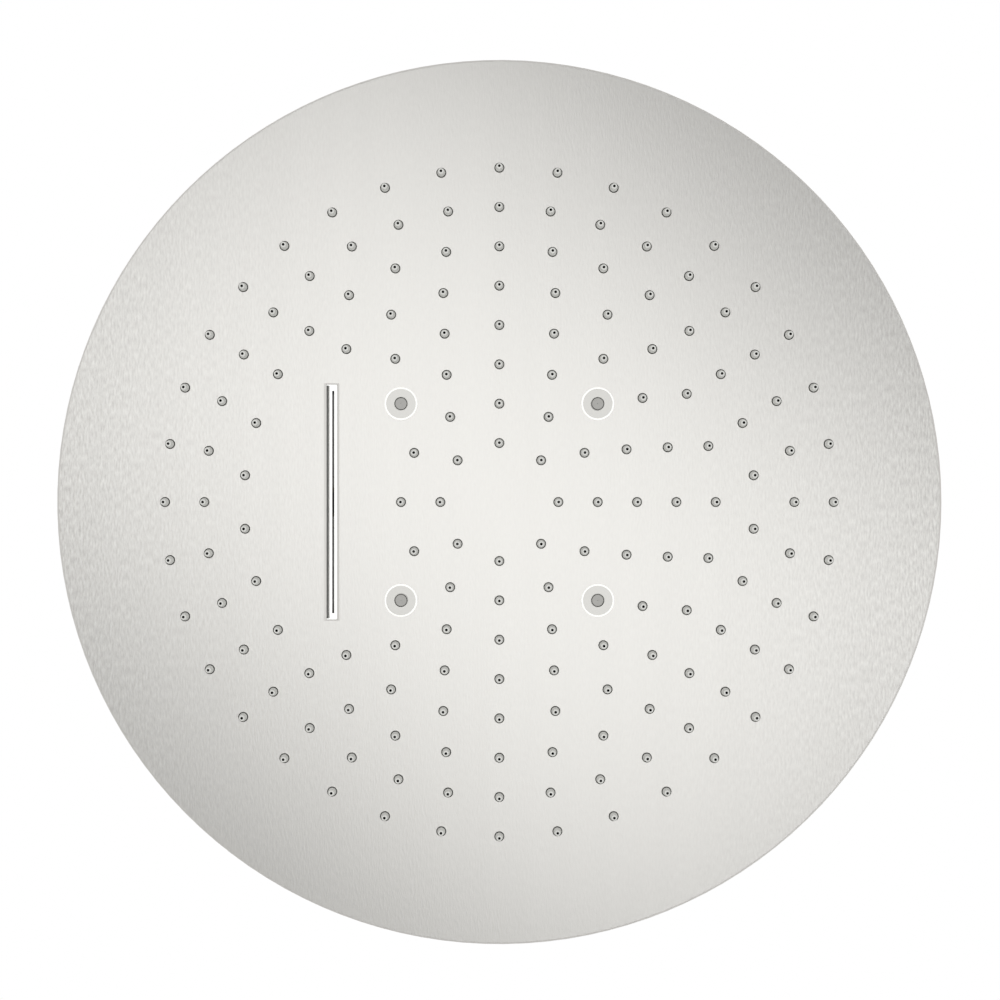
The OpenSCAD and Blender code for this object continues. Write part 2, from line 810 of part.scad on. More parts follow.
mist_xy = [for (p = mist_places) p * mist_offset];
tee_xy = [mist_offset, 0];
tube_ends = [[mist_xy[0], mist_xy[1]], [mist_xy[1], tee_xy], [tee_xy, mist_xy[2]], [mist_xy[2], mist_xy[3]]];

// Every place where a tube enters a socket: centre of the fitting and direction of the tube
sockets = [for (e = tube_ends, flip = [0, 1])
    let (from = e[flip], to = e[1 - flip]) [from, atan2(to.y - from.y, to.x - from.x)]];

module at_sockets() {
    for (s = sockets) translate([s[0].x, s[0].y, 0]) along(s[1]) children();
}

// Soft brass rings that the nuts squeeze onto the tubes
module mist_olives() {
    gap = 0.1;
    bore_r = tube_r + 0.02;
    outer_r = stub_r - gap;
    olive_l = nut_step - stub_end - 2 * gap;
    ease = 0.5;
    color("goldenrod")
    at_sockets() translate([0, 0, stub_end + gap]) rotate_extrude()
        polygon([[bore_r, 0], [stub_r - ease, 0], [outer_r, ease], [outer_r, olive_l - ease],
            [stub_r - ease, olive_l], [bore_r, olive_l]]);
}

// Compression nuts over stub, olive and tube
module mist_tube_nuts() {
    color("goldenrod")
    at_sockets() difference() {
        translate([0, 0, nut_from]) rotate(90) hex_nut(tube_nut_af, nut_to - nut_from, tube_r + thread_gap);
        translate([0, 0, nut_from - over]) cylinder(r = stub_r + thread_gap, h = nut_step - nut_from + over);
    }
}

// Brass tee: foot on the pan, two side sockets and the threaded mist inlet
module mist_inlet_tee() {
    floor_z = pan_top + tee_foot_t + 1;
    ease = 0.5;
    color("goldenrod")
    translate([tee_xy.x, tee_xy.y, 0])
    difference() {
        union() {
            translate([0, 0, pan_top]) linear_extrude(height = tee_foot_t) difference() {
                rounded_rect(tee_foot_l, tee_foot_w, tee_foot_corner_r);
                for (s = [-1, 1]) translate([s * tee_stud_x, 0]) circle(r = m4_hole_r);
            }
            rotate_extrude()
                polygon([[0, pan_top], [tee_r, pan_top], [tee_r, tee_top - ease], [tee_r - ease, tee_top],
                    [relief_r, tee_top], [relief_r, inlet_thread_z], [inlet_r, inlet_thread_z],
                    [inlet_r, inlet_top - inlet_lead], [inlet_r - inlet_lead, inlet_top], [0, inlet_top]]);
            for (a = [90, 270]) along(a) cylinder(r = stub_r, h = stub_end);
        }
        translate([0, 0, floor_z]) cylinder(r = inlet_bore_r, h = inlet_top - floor_z + over);
        for (a = [90, 270]) along(a) socket_cut(0);
    }
}

module at_tee_studs() {
    for (s = [-1, 1]) translate([tee_xy.x + s * tee_stud_x, tee_xy.y, 0]) children();
}

module tee_studs() {
    color("silver")
    at_tee_studs() stud(m4_r, pan_top, pan_top + tee_foot_t + m4_nut_h + stud_past_nut);
}

module tee_nuts() {
    color("silver")
    at_tee_studs() translate([0, 0, pan_top + tee_foot_t]) hex_nut(m4_nut_af, m4_nut_h, m4_r + thread_gap);
}

module stay_studs() {
    color("silver")
    at_stays() stud(stay_r, back_z, pan_top + outer_seal_t + stay_nut_h + stud_past_nut);
}

module stay_sleeves() {
    color("silver") at_stays() ring(stay_r + stay_play, stay_sleeve_r, back_z, pan_z);
}

module stay_seals() {
    color("dimgray") at_stays() ring(stay_r + seal_play, stay_seal_r, pan_top, pan_top + outer_seal_t);
}

module stay_nuts() {
    color("silver")
    at_stays() translate([0, 0, pan_top + outer_seal_t])
        cap_nut(stay_nut_af, stay_nut_h, stay_r + thread_gap, stay_nut_h + stud_past_nut + cap_room);
}

// Folded bracket: foot on the rim studs, upright web, and an ear turned in over the pan for the hanger rod
module hanger_bracket(k) {
    foot_z = flange_z + pan_t;
    ear_top = inlet_top;
    ear_end = hanger_r - bracket_tip;
    path = [[bracket_foot_u, foot_z], [bracket_web_u, foot_z], [bracket_web_u, ear_top], [ear_end, ear_top]];
    radii = [0, bracket_bend_r, bracket_bend_r, 0];
    color("lightsteelblue")
    rotate(bracket_angles[k])
    difference() {
        intersection() {
            rotate([90, 0, 0]) linear_extrude(height = bracket_foot_w, center = true)
                polygon(sheet_outline(path, radii, bracket_t));
            rotate([90, 0, 90]) linear_extrude(height = bracket_web_u + over) bracket_front(foot_z, ear_top);
            linear_extrude(height = ear_top + over) bracket_plan();
        }
        for (a = [-1, 1]) rotate(a * 180 / rim_count) translate([rim_stud_r, 0, foot_z - over])
            cylinder(r = m4_hole_r, h = bracket_t + 2 * over);
        translate([hanger_r, 0, ear_top - bracket_t - over])
            cylinder(d = hanger_hole_d, h = bracket_t + 2 * over);
    }
}

// Outline of the bracket seen from the plate's centre: wide foot, tapered web, narrow top
module bracket_front(foot_z, ear_top) {
    foot_h = foot_z + bracket_straight;
    neck_h = ear_top - bracket_straight;
    polygon([[-bracket_foot_w / 2, 0], [bracket_foot_w / 2, 0], [bracket_foot_w / 2, foot_h],
        [bracket_ear_w / 2, neck_h], [bracket_ear_w / 2, ear_top + over],
        [-bracket_ear_w / 2, ear_top + over], [-bracket_ear_w / 2, neck_h], [-bracket_foot_w / 2, foot_h]]);
}

// Outline of the bracket seen from above: rounded ear, foot with eased corners
module bracket_plan() {
    ear_end = hanger_r - bracket_tip;
    ear_l = bracket_web_u + over - ear_end;
    foot_l = bracket_web_u + over - bracket_foot_u;
    translate([ear_end + ear_l / 2, 0]) rounded_rect(ear_l, bracket_ear_w, bracket_ear_corner_r);
    translate([bracket_foot_u + foot_l / 2, 0]) rounded_rect(foot_l, bracket_foot_w, bracket_foot_corner_r);
    translate([bracket_web_u - 1, -bracket_foot_w / 2]) square([1 + over, bracket_foot_w]);
}

// Foam ring glued to the plate's back, squeezed against the ceiling
module ceiling_seal() {
    color("dimgray")
    ring(ceiling_seal_in, plate_d / 2 - ceiling_seal_edge, back_z, back_z + ceiling_seal_t, $fn = 180);
}

face_plate();
rain_nozzles();
rain_gasket();
rain_pan();
rim_studs();
rim_washers();
rim_nuts();
waterfall_gasket();
waterfall_bar();
waterfall_strip();
waterfall_box();
waterfall_studs();
waterfall_washers();
waterfall_nuts();
waterfall_inlet();
waterfall_inner_seal();
waterfall_spacer_seal();
waterfall_outer_seal();
waterfall_lock_nut();
rain_inlet();
rain_inner_seal();
rain_outer_seal();
rain_lock_nut();
rain_diffuser();
mist_nozzle_at(0);  // mist_nozzle_1
mist_nozzle_at(1);  // mist_nozzle_2
mist_nozzle_at(2);  // mist_nozzle_3
mist_nozzle_at(3);  // mist_nozzle_4
mist_insert_at(0);  // mist_insert_1
mist_insert_at(1);  // mist_insert_2
mist_insert_at(2);  // mist_insert_3
mist_insert_at(3);  // mist_insert_4
mist_face_seals();
mist_sleeves();
mist_pan_seals();
mist_block_seals();
mist_block_at(0);  // mist_block_1
mist_block_at(1);  // mist_block_2
mist_block_at(2);  // mist_block_3
mist_block_at(3);  // mist_block_4
mist_top_washers();
mist_cap_nuts();
mist_tube(tube_ends[0][0], tube_ends[0][1]);  // mist_tube_1
mist_tube(tube_ends[1][0], tube_ends[1][1]);  // mist_tube_2
mist_tube(tube_ends[2][0], tube_ends[2][1]);  // mist_tube_3
mist_tube(tube_ends[3][0], tube_ends[3][1]);  // mist_tube_4
mist_olives();
mist_tube_nuts();
mist_inlet_tee();
tee_studs();
tee_nuts();
stay_studs();
stay_sleeves();
stay_seals();
stay_nuts();
hanger_bracket(0);  // hanger_bracket_1
hanger_bracket(1);  // hanger_bracket_2
hanger_bracket(2);  // hanger_bracket_3
hanger_bracket(3);  // hanger_bracket_4
ceiling_seal();
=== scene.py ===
import math

import bmesh
import bpy
from mathutils import Matrix, Vector


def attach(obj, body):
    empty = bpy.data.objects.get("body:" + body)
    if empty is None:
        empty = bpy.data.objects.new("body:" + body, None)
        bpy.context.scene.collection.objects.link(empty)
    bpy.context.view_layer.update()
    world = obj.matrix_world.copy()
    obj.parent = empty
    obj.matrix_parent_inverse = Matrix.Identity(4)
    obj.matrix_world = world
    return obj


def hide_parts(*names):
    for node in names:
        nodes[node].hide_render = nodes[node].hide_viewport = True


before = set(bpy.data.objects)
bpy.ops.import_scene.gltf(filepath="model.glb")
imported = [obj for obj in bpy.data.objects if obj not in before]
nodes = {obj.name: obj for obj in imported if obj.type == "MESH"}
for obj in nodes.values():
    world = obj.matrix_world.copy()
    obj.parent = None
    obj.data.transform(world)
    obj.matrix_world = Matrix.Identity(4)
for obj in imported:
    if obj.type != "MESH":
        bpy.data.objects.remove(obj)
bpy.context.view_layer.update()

# Camera: the head is seen square on from below, nearly along its own axis. Distance and lens give the
# photograph's frame, 508.5 mm wide at the face, and the same lean of the outer nozzles away from the middle.
view_distance = 0.65
view_aside = (0.00033, -0.00103)
frame_width = 0.5085
face_height = 0.004
sensor_width = 36
camera_data = bpy.data.cameras.new("camera")
camera_data.sensor_width = sensor_width
camera_data.lens = sensor_width * view_distance / frame_width
camera = bpy.data.objects.new("camera", camera_data)
bpy.context.scene.collection.objects.link(camera)
camera.rotation_euler = (math.pi, 0, 0)
camera.location = (*view_aside, face_height - view_distance)
bpy.context.scene.camera = camera

# Face plate: one disc of 2 mm stainless steel sheet, laser cut, with a hole for each rain nozzle, four holes
# for the mist nozzles and a bevelled slot. Its face is brushed in one direction and its edge is just broken.
plate_radius = 0.225
edge_break = 0.001
slot_x = -0.0853
slot_reach = (0.0039, 0.0603, 0)
back_height = 0.0059


def srgb(text):
    """Linear colour for an sRGB hex value."""
    parts = [int(text[i:i + 2], 16) / 255 for i in (1, 3, 5)]
    return [c / 12.92 if c <= 0.04045 else ((c + 0.055) / 1.055) ** 2.4 for c in parts] + [1]


def new_material(name):
    """Empty node material."""
    material = bpy.data.materials.new(name)
    material.use_nodes = True
    material.node_tree.nodes.clear()
    return material


def add(material, kind, inputs=None, **settings):
    """Adds one node: settings are its options, inputs its sockets, each a value or another node's output."""
    tree = material.node_tree
    node = tree.nodes.new("ShaderNode" + kind)
    for name, value in settings.items():
        setattr(node, name, value)
    for name, value in (inputs or {}).items():
        if isinstance(value, bpy.types.NodeSocket):
            tree.links.new(value, node.inputs[name])
        else:
            node.inputs[name].default_value = value
    return node


def finish_nodes(material, *names):
    """Gives CAD nodes this material."""
    for name in names:
        for slot in nodes[name].material_slots:
            slot.material = material


# Stainless steel 304, brushed on a belt: thousands of short parallel scratches throw the light sideways, so
# the sheet is bright and nearly white in the middle, and falls off softly to its rim. Real scratches are some
# 0.05 mm wide. They are drawn ten times as wide, and in wider bands, because finer ones don't show.
brushed_steel = new_material("stainless_steel_brushed")
grain_width = 0.0005
grain_length = 0.002
grain_height = 6e-5
band_width = 0.005
band_length = 0.16
plate_place = add(brushed_steel, "TexCoord").outputs["Object"]
grain_at = add(brushed_steel, "Mapping", {
    "Vector": plate_place, "Scale": (0.5 / grain_width, 0.5 / grain_length, 0.5 / grain_length)})
grain = add(brushed_steel, "TexNoise", {
    "Vector": grain_at.outputs[0], "Scale": 1, "Detail": 3, "Roughness": 0.6})
band_at = add(brushed_steel, "Mapping", {
    "Vector": plate_place, "Scale": (0.5 / band_width, 0.5 / band_length, 0.5 / band_length)})
band = add(brushed_steel, "TexNoise", {"Vector": band_at.outputs[0], "Scale": 1, "Detail": 2})
# The grain's tone is the steel's own, but its contrast is painted to grow from the middle line to the sides:
# painted sheen, standing in for the reflection that shows the scratches more toward the rim.
plate_axes = add(brushed_steel, "SeparateXYZ", {0: plate_place})
sideways = add(brushed_steel, "Math", {0: plate_axes.outputs["X"], 1: plate_radius}, operation="DIVIDE")
aside = add(brushed_steel, "Math", {0: sideways.outputs[0]}, operation="ABSOLUTE")
growth = add(brushed_steel, "Math", {0: aside.outputs[0], 1: 3}, operation="POWER")
contrast = add(brushed_steel, "MapRange", {"Value": growth.outputs[0], "To Min": 0.22, "To Max": 2.5})
signed = add(brushed_steel, "Math", {0: grain.outputs[0], 1: 0.5}, operation="SUBTRACT")
scratch = add(brushed_steel, "Math", {
    0: signed.outputs[0], 1: contrast.outputs[0], 2: 0.5}, operation="MULTIPLY_ADD")
brushed_tint = add(brushed_steel, "Mix", {
    0: scratch.outputs[0], 6: srgb("#DBD9D5"), 7: srgb("#FFFEFA")}, data_type="RGBA")
brushed_rough = add(brushed_steel, "MapRange", {
    "Value": band.outputs[0], "From Min": 0.3, "From Max": 0.7, "To Min": 0.415, "To Max": 0.425})
# The edge break and the slot's bevel are ground after the brushing: no grain there, and a duller shine. Their
# tint is also painted lighter than the brushed face: painted light that brightens these slopes.
plate_flat = add(brushed_steel, "VectorMath", {0: plate_place, 1: (1, 1, 0)}, operation="MULTIPLY")
from_middle = add(brushed_steel, "VectorMath", {0: plate_flat.outputs[0]}, operation="LENGTH")
on_edge = add(brushed_steel, "Math", {
    0: from_middle.outputs["Value"], 1: plate_radius - edge_break}, operation="GREATER_THAN")
from_slot = add(brushed_steel, "VectorMath", {
    0: plate_flat.outputs[0], 1: (slot_x, 0, 0)}, operation="SUBTRACT")
either_side = add(brushed_steel, "VectorMath", {0: from_slot.outputs[0]}, operation="ABSOLUTE")
outside = add(brushed_steel, "VectorMath", {0: either_side.outputs[0], 1: slot_reach}, operation="SUBTRACT")
outside_axes = add(brushed_steel, "SeparateXYZ", {0: outside.outputs[0]})
furthest = add(brushed_steel, "Math", {
    0: outside_axes.outputs["X"], 1: outside_axes.outputs["Y"]}, operation="MAXIMUM")
on_bevel = add(brushed_steel, "Math", {0: furthest.outputs[0], 1: 0}, operation="LESS_THAN")
ground = add(brushed_steel, "Math", {0: on_edge.outputs[0], 1: on_bevel.outputs[0]}, operation="MAXIMUM")
# Painted light: the ground edge and bevel take a lighter tint than the brushed face.
face_tint = add(brushed_steel, "Mix", {
    0: ground.outputs[0], 6: brushed_tint.outputs[2], 7: srgb("#F8F6F2")}, data_type="RGBA")
face_rough = add(brushed_steel, "Mix", {0: ground.outputs[0], 2: brushed_rough.outputs[0], 3: 0.6})
# The back is left as the mill rolled it, greyer and smoother than the brushed face.
on_back = add(brushed_steel, "Math", {0: plate_axes.outputs["Z"], 1: back_height}, operation="GREATER_THAN")
plate_tint = add(brushed_steel, "Mix", {
    0: on_back.outputs[0], 6: face_tint.outputs[2], 7: srgb("#B2B1AE")}, data_type="RGBA")
plate_rough = add(brushed_steel, "Mix", {0: on_back.outputs[0], 2: face_rough.outputs[0], 3: 0.32})
grain_bump = add(brushed_steel, "Bump", {"Height": grain.outputs[0], "Strength": 1, "Distance": grain_height})
across_grain = add(brushed_steel, "Tangent", direction_type="RADIAL", axis="Y")
plate_surface = add(brushed_steel, "BsdfPrincipled", {
    "Base Color": plate_tint.outputs[2], "Metallic": 1, "Roughness": plate_rough.outputs[0],
    "Anisotropic": 0.26, "Normal": grain_bump.outputs[0], "Tangent": across_grain.outputs[0]})
add(brushed_steel, "OutputMaterial", {"Surface": plate_surface.outputs[0]})
finish_nodes(brushed_steel, "face_plate")

# Rain nozzles: 165 separate nozzles moulded in liquid silicone rubber. Each is pushed through its hole from
# behind and is held there by its flange. The soft cone stands 4 mm below the face, so that scale rubs off.
# Silicone rubber, moulded: pale grey and matt, with a little light going through it, in clouds of 2.5 mm.
# Every upright face, such as the jet hole's wall, is painted dark, and the neck in its hole darker: both are
# painted shade.
# The mould's own grain of some 0.03 mm is drawn at 0.2 mm, because finer grain doesn't show.
silicone = new_material("silicone_rubber_moulded")
wall_slope = 0.05
neck_blend = 0.0003
clouds_per_metre = 400
silicone_grains_per_metre = 5000
silicone_at = add(silicone, "TexCoord")
silicone_place = silicone_at.outputs["Object"]
slope = add(silicone, "SeparateXYZ", {0: silicone_at.outputs["Normal"]}).outputs["Z"]
# Painted shade: faces that stand upright, such as the jet hole's wall, are painted dark.
upright = add(silicone, "Math", {0: slope, 1: 0, 2: wall_slope}, operation="COMPARE")
cloud = add(silicone, "TexNoise", {"Vector": silicone_place, "Scale": clouds_per_metre, "Detail": 2})
clean_tint = add(silicone, "Mix", {
    0: cloud.outputs[0], 6: srgb("#D4D4D0"), 7: srgb("#E2E2DD")}, data_type="RGBA")
wet_tint = add(silicone, "Mix", {
    0: upright.outputs[0], 6: clean_tint.outputs[2], 7: srgb("#3C3C38")}, data_type="RGBA")
# Painted shade: the neck, above the face and inside its hole, is painted darker.
silicone_height = add(silicone, "SeparateXYZ", {0: silicone_place}).outputs["Z"]
in_hole = add(silicone, "MapRange", {
    "Value": silicone_height, "From Min": face_height - neck_blend, "From Max": face_height + neck_blend})
silicone_tint = add(silicone, "Mix", {
    0: in_hole.outputs[0], 6: wet_tint.outputs[2], 7: srgb("#8E8E89")}, data_type="RGBA")
silicone_grain = add(silicone, "TexNoise", {
    "Vector": silicone_place, "Scale": silicone_grains_per_metre, "Detail": 1})
silicone_bump = add(silicone, "Bump", {
    "Height": silicone_grain.outputs[0], "Strength": 0.3, "Distance": 2e-5})
silicone_surface = add(silicone, "BsdfPrincipled", {
    "Base Color": silicone_tint.outputs[2], "Roughness": 0.55, "IOR": 1.41, "Subsurface Weight": 0.05,
    "Subsurface Radius": (0.001, 0.001, 0.001), "Subsurface Scale": 0.5, "Normal": silicone_bump.outputs[0]})
add(silicone, "OutputMaterial", {"Surface": silicone_surface.outputs[0]})
finish_nodes(silicone, "rain_nozzles")

# Gaskets and seals: flat rings and frames of black rubber, moulded, that lie squeezed between every two parts
# that hold water.
# EPDM rubber, moulded: black and matt, with a grey bloom in patches of 17 mm and the skin of the mould. That
# skin's grain of some 0.05 mm is drawn at 0.4 mm, so that the rubber doesn't look smooth.
rubber = new_material("epdm_rubber_moulded")
blooms_per_metre = 60
skin_grains_per_metre = 2500
rubber_place = add(rubber, "TexCoord").outputs["Object"]
bloom = add(rubber, "TexNoise", {"Vector": rubber_place, "Scale": blooms_per_metre, "Detail": 3})
rubber_tint = add(rubber, "Mix", {
    0: bloom.outputs[0], 6: srgb("#1E1F21"), 7: srgb("#35373A")}, data_type="RGBA")
skin = add(rubber, "TexNoise", {"Vector": rubber_place, "Scale": skin_grains_per_metre, "Detail": 2})
rubber_bump = add(rubber, "Bump", {"Height": skin.outputs[0], "Strength": 0.5, "Distance": 5e-5})
rubber_surface = add(rubber, "BsdfPrincipled", {
    "Base Color": rubber_tint.outputs[2], "Roughness": 0.62, "IOR": 1.52, "Normal": rubber_bump.outputs[0]})
add(rubber, "OutputMaterial", {"Surface": rubber_surface.outputs[0]})
finish_nodes(
    rubber, "rain_gasket", "waterfall_gasket", "waterfall_inner_seal", "waterfall_spacer_seal",
    "waterfall_outer_seal", "rain_inner_seal", "rain_outer_seal", "mist_face_seals", "mist_pan_seals",
    "mist_block_seals", "stay_seals")

# Waterfall bar: the moulded bar behind the slot, held by the waterfall box. Its deep narrow walls carry the
# water to the slit.
# Acetal, moulded: dark grey with a dull sheen, and faint flow marks of 8 mm.
dark_plastic = new_material("acetal_moulded_dark")
bar_marks_per_metre = 120
bar_place = add(dark_plastic, "TexCoord").outputs["Object"]
bar_mark = add(dark_plastic, "TexNoise", {"Vector": bar_place, "Scale": bar_marks_per_metre, "Detail": 2})
bar_tint = add(dark_plastic, "Mix", {
    0: bar_mark.outputs[0], 6: srgb("#5C5C53"), 7: srgb("#68685F")}, data_type="RGBA")
bar_surface = add(dark_plastic, "BsdfPrincipled", {
    "Base Color": bar_tint.outputs[2], "Roughness": 0.5, "IOR": 1.48})
add(dark_plastic, "OutputMaterial", {"Surface": bar_surface.outputs[0]})
finish_nodes(dark_plastic, "waterfall_bar")

# Waterfall strip: a strip of sheet with a laser cut slit, its two ends turned down, snapped into the bar.
# Stainless steel 304, polished along its length: nearly a mirror, with hair lines that run with the slot.
# They are some 0.03 mm wide, and are drawn at 0.25 mm, because finer ones don't show.
polished_steel = new_material("stainless_steel_polished")
hairs_per_metre = (4000, 60, 4000)
strip_place = add(polished_steel, "TexCoord").outputs["Object"]
hair_at = add(polished_steel, "Mapping", {"Vector": strip_place, "Scale": hairs_per_metre})
hair = add(polished_steel, "TexNoise", {"Vector": hair_at.outputs[0], "Scale": 1, "Detail": 2})
strip_tint = add(polished_steel, "Mix", {
    0: hair.outputs[0], 6: srgb("#F7F7F4"), 7: srgb("#FFFFFD")}, data_type="RGBA")
strip_bump = add(polished_steel, "Bump", {"Height": hair.outputs[0], "Strength": 0.4, "Distance": 1e-6})
strip_surface = add(polished_steel, "BsdfPrincipled", {
    "Base Color": strip_tint.outputs[2], "Metallic": 1, "Roughness": 0.16, "Normal": strip_bump.outputs[0]})
add(polished_steel, "OutputMaterial", {"Surface": strip_surface.outputs[0]})
finish_nodes(polished_steel, "waterfall_strip")

# Mist nozzles: four turned bodies that come through the face. A polished ring runs round the flange, and the
# face inside it is faced off dull.
# Stainless steel 303, turned: fine rings from the facing tool round each nozzle's own axis, and a mirror
# edge. The real feed of 0.1 mm a turn is drawn as 0.4 mm, because finer rings don't show.
turned_steel = new_material("stainless_steel_turned")
mist_offset = 0.05
polished_from = 0.0075
tool_feed = 0.0004
mist_place = add(turned_steel, "TexCoord").outputs["Object"]
folded = add(turned_steel, "VectorMath", {0: mist_place}, operation="ABSOLUTE")
own_axis = add(turned_steel, "VectorMath", {
    0: folded.outputs[0], 1: (mist_offset, mist_offset, 0)}, operation="SUBTRACT")
mist_flat = add(turned_steel, "VectorMath", {0: own_axis.outputs[0], 1: (1, 1, 0)}, operation="MULTIPLY")
from_axis = add(turned_steel, "VectorMath", {0: mist_flat.outputs[0]}, operation="LENGTH").outputs["Value"]
feed_angle = add(turned_steel, "Math", {0: from_axis, 1: 2 * math.pi / tool_feed}, operation="MULTIPLY")
rings = add(turned_steel, "Math", {0: feed_angle.outputs[0]}, operation="SINE")
polished = add(turned_steel, "Math", {0: from_axis, 1: polished_from}, operation="GREATER_THAN")
turned_tint = add(turned_steel, "Mix", {
    0: polished.outputs[0], 6: srgb("#D2D1CD"), 7: srgb("#EEEEEA")}, data_type="RGBA")
turned_rough = add(turned_steel, "MapRange", {"Value": polished.outputs[0], "To Min": 0.34, "To Max": 0.1})
ring_bump = add(turned_steel, "Bump", {"Height": rings.outputs[0], "Strength": 0.5, "Distance": 2e-6})
turned_surface = add(turned_steel, "BsdfPrincipled", {
    "Base Color": turned_tint.outputs[2], "Metallic": 1, "Roughness": turned_rough.outputs[0],
    "Normal": ring_bump.outputs[0]})
add(turned_steel, "OutputMaterial", {"Surface": turned_surface.outputs[0]})
finish_nodes(turned_steel, "mist_nozzle_1", "mist_nozzle_2", "mist_nozzle_3", "mist_nozzle_4")

# Mist inserts and rain diffuser: the moulded atomiser in the middle of each mist nozzle, and the baffle that
# spreads the water in the rain chamber.
# Acetal, moulded: mid grey and matt, with faint flow marks of 2 mm.
grey_plastic = new_material("acetal_moulded_grey")
insert_marks_per_metre = 500
insert_place = add(grey_plastic, "TexCoord").outputs["Object"]
insert_mark = add(grey_plastic, "TexNoise", {
    "Vector": insert_place, "Scale": insert_marks_per_metre, "Detail": 2})
insert_tint = add(grey_plastic, "Mix", {
    0: insert_mark.outputs[0], 6: srgb("#A5A4A0"), 7: srgb("#B0AFAB")}, data_type="RGBA")
insert_surface = add(grey_plastic, "BsdfPrincipled", {
    "Base Color": insert_tint.outputs[2], "Roughness": 0.5, "IOR": 1.48})
add(grey_plastic, "OutputMaterial", {"Surface": insert_surface.outputs[0]})
finish_nodes(
    grey_plastic, "mist_insert_1", "mist_insert_2", "mist_insert_3", "mist_insert_4", "rain_diffuser")

# Waterfall box: a small pressed water chamber, bolted over the bar. It shows through the slit as a grey line.
# Stainless steel 304, bright annealed: pale and clean, with the soft shine of a sheet that has had no
# brushing, a little uneven in patches of 25 mm.
annealed_steel = new_material("stainless_steel_bright_annealed")
box_patches_per_metre = 40
box_place = add(annealed_steel, "TexCoord").outputs["Object"]
anneal = add(annealed_steel, "TexNoise", {"Vector": box_place, "Scale": box_patches_per_metre, "Detail": 3})
box_tint = add(annealed_steel, "Mix", {
    0: anneal.outputs[0], 6: srgb("#F0F0ED"), 7: srgb("#F8F8F5")}, data_type="RGBA")
box_rough = add(annealed_steel, "MapRange", {"Value": anneal.outputs[0], "To Min": 0.33, "To Max": 0.37})
box_surface = add(annealed_steel, "BsdfPrincipled", {
    "Base Color": box_tint.outputs[2], "Metallic": 1, "Roughness": box_rough.outputs[0]})
add(annealed_steel, "OutputMaterial", {"Surface": box_surface.outputs[0]})
finish_nodes(annealed_steel, "waterfall_box")

# Rain pan: a deep drawn water chamber, with a flange for the rim studs, a slanted wall, a stepped top and
# eight pressed beads that stiffen it.
# Stainless steel 304, cold rolled and pressed: an even pale grey, whose dull shine changes in patches of
# 40 mm where the sheet was drawn. The rolling grain of some 0.1 mm is drawn at 1.1 mm, because finer grain
# doesn't show.
pressed_steel = new_material("stainless_steel_pressed")
rolls_per_metre = (900, 40, 900)
draws_per_metre = 25
pan_place = add(pressed_steel, "TexCoord").outputs["Object"]
roll_at = add(pressed_steel, "Mapping", {"Vector": pan_place, "Scale": rolls_per_metre})
roll = add(pressed_steel, "TexNoise", {"Vector": roll_at.outputs[0], "Scale": 1, "Detail": 3})
drawing = add(pressed_steel, "TexNoise", {
    "Vector": pan_place, "Scale": draws_per_metre, "Detail": 3, "Roughness": 0.55})
pan_tint = add(pressed_steel, "Mix", {
    0: drawing.outputs[0], 6: srgb("#B9B9B6"), 7: srgb("#C9C9C6")}, data_type="RGBA")
pan_rough = add(pressed_steel, "MapRange", {
    "Value": drawing.outputs[0], "From Min": 0.3, "From Max": 0.7, "To Min": 0.27, "To Max": 0.36})
pan_bump = add(pressed_steel, "Bump", {"Height": roll.outputs[0], "Strength": 0.6, "Distance": 3e-6})
pan_surface = add(pressed_steel, "BsdfPrincipled", {
    "Base Color": pan_tint.outputs[2], "Metallic": 1, "Roughness": pan_rough.outputs[0],
    "Normal": pan_bump.outputs[0]})
add(pressed_steel, "OutputMaterial", {"Surface": pan_surface.outputs[0]})
finish_nodes(pressed_steel, "rain_pan")

# Nuts, washers and sleeves: bought stainless steel fasteners that clamp the pan, the box and the tee.
# Stainless steel A2, forged and turned: clean and bright, with a shine that is uneven in patches of 6 mm.
bright_steel = new_material("stainless_steel_turned_fastener")
nut_patches_per_metre = 180
nut_place = add(bright_steel, "TexCoord").outputs["Object"]
nut_patch = add(bright_steel, "TexNoise", {"Vector": nut_place, "Scale": nut_patches_per_metre, "Detail": 3})
nut_tint = add(bright_steel, "Mix", {
    0: nut_patch.outputs[0], 6: srgb("#B9B8B4"), 7: srgb("#D3D2CE")}, data_type="RGBA")
nut_rough = add(bright_steel, "MapRange", {"Value": nut_patch.outputs[0], "To Min": 0.2, "To Max": 0.36})
nut_surface = add(bright_steel, "BsdfPrincipled", {
    "Base Color": nut_tint.outputs[2], "Metallic": 1, "Roughness": nut_rough.outputs[0]})
add(bright_steel, "OutputMaterial", {"Surface": nut_surface.outputs[0]})
finish_nodes(
    bright_steel, "rim_washers", "rim_nuts", "waterfall_washers", "waterfall_nuts", "mist_sleeves",
    "mist_top_washers", "mist_cap_nuts", "tee_nuts", "stay_sleeves", "stay_nuts")

# Studs: threaded stainless steel pins, welded to the back of the plate and to the pan.
# Stainless steel A2, rolled thread. A thread of 0.7 mm is too fine to model, so it is drawn as level ridges
# at its real pitch, with painted highlight on the crests and painted shade in the roots.
thread_steel = new_material("stainless_steel_rolled_thread")
stud_pitch = 0.0007
stud_place = add(thread_steel, "TexCoord").outputs["Object"]
stud_height = add(thread_steel, "SeparateXYZ", {0: stud_place}).outputs["Z"]
pitch_angle = add(thread_steel, "Math", {0: stud_height, 1: 2 * math.pi / stud_pitch}, operation="MULTIPLY")
ridges = add(thread_steel, "Math", {0: pitch_angle.outputs[0]}, operation="SINE")
